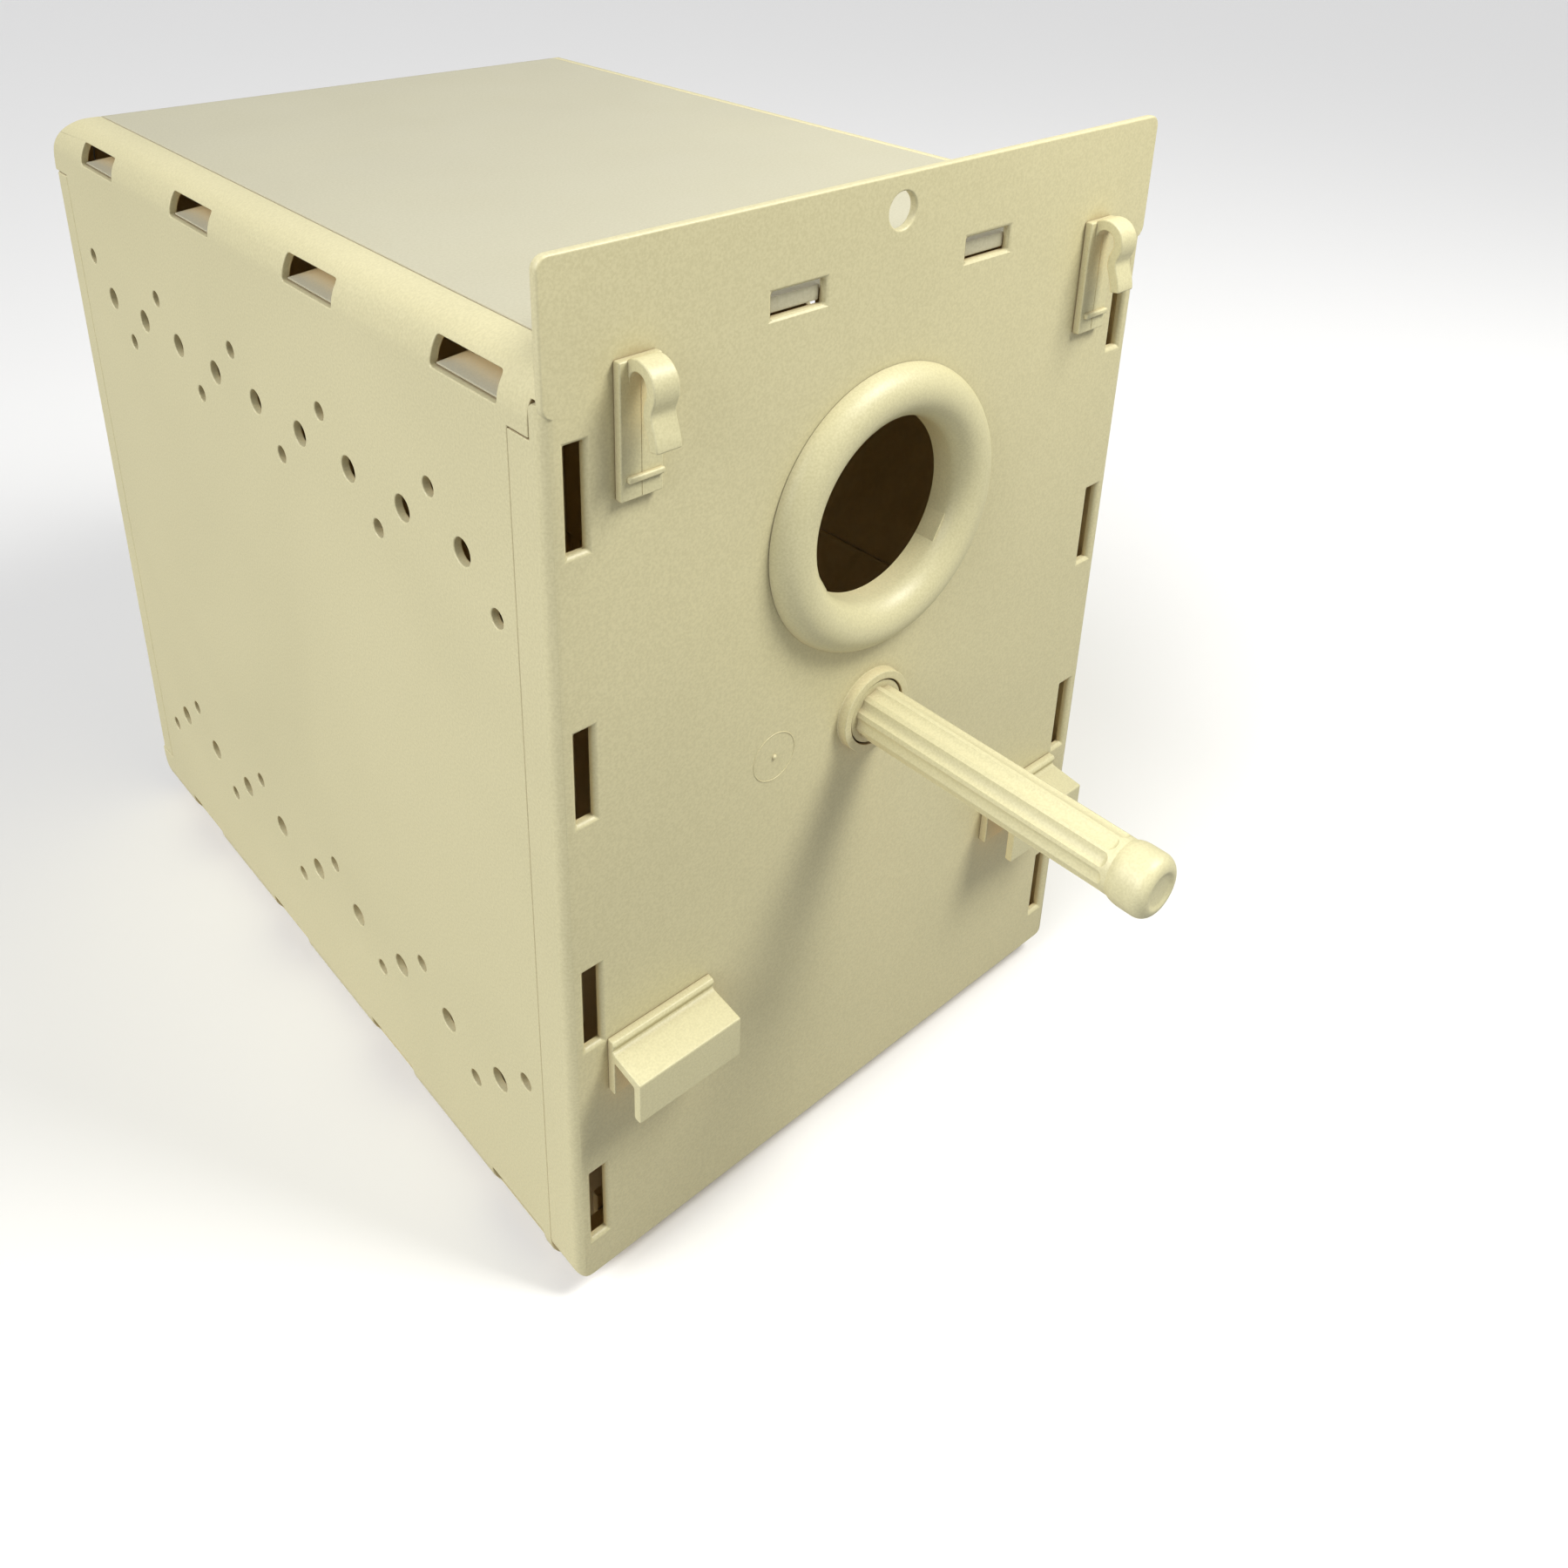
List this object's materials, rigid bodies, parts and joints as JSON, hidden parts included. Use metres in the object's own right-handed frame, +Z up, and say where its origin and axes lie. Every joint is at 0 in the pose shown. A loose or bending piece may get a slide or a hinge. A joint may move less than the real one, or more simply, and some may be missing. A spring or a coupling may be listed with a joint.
{
  "type": "bird nest box",
  "caption": "Snap-together moulded plastic nest box with a round ringed entrance, plug-in perch, wire hooks and a pull-off rear panel.",
  "frame": {"origin": "middle of the overall box, on the plane that the floor panel stands on", "axes": "+Z up, the entrance faces -Y, X is across the front"},
  "size_m": [0.2, 0.375, 0.295],
  "materials": {
    "panel_plastic": "satin moulded, fine grain",
    "cover_plastic": "satin moulded, fine grain",
    "fitting_plastic": "satin moulded, smooth"
  },
  "bodies": {
    "box": {"front_panel": "panel_plastic", "left_side_panel": "panel_plastic", "right_side_panel": "panel_plastic", "roof_panel": "cover_plastic", "floor_panel": "cover_plastic", "entrance_ring": "fitting_plastic", "left_hook": "fitting_plastic", "right_hook": "fitting_plastic", "left_bracket": "fitting_plastic", "right_bracket": "fitting_plastic"},
    "perch": {"perch": "fitting_plastic"},
    "rear_panel": {"rear_panel": "panel_plastic"}
  },
  "joints": [
    {"name": "perch_pull", "type": "slide", "parent": "box", "child": "perch", "axis": [0, -1, 0], "range_m": [0, 0.04]},
    {"name": "rear_panel_pull", "type": "slide", "parent": "box", "child": "rear_panel", "axis": [0, 1, 0], "range_m": [0, 0.04]}
  ]
}
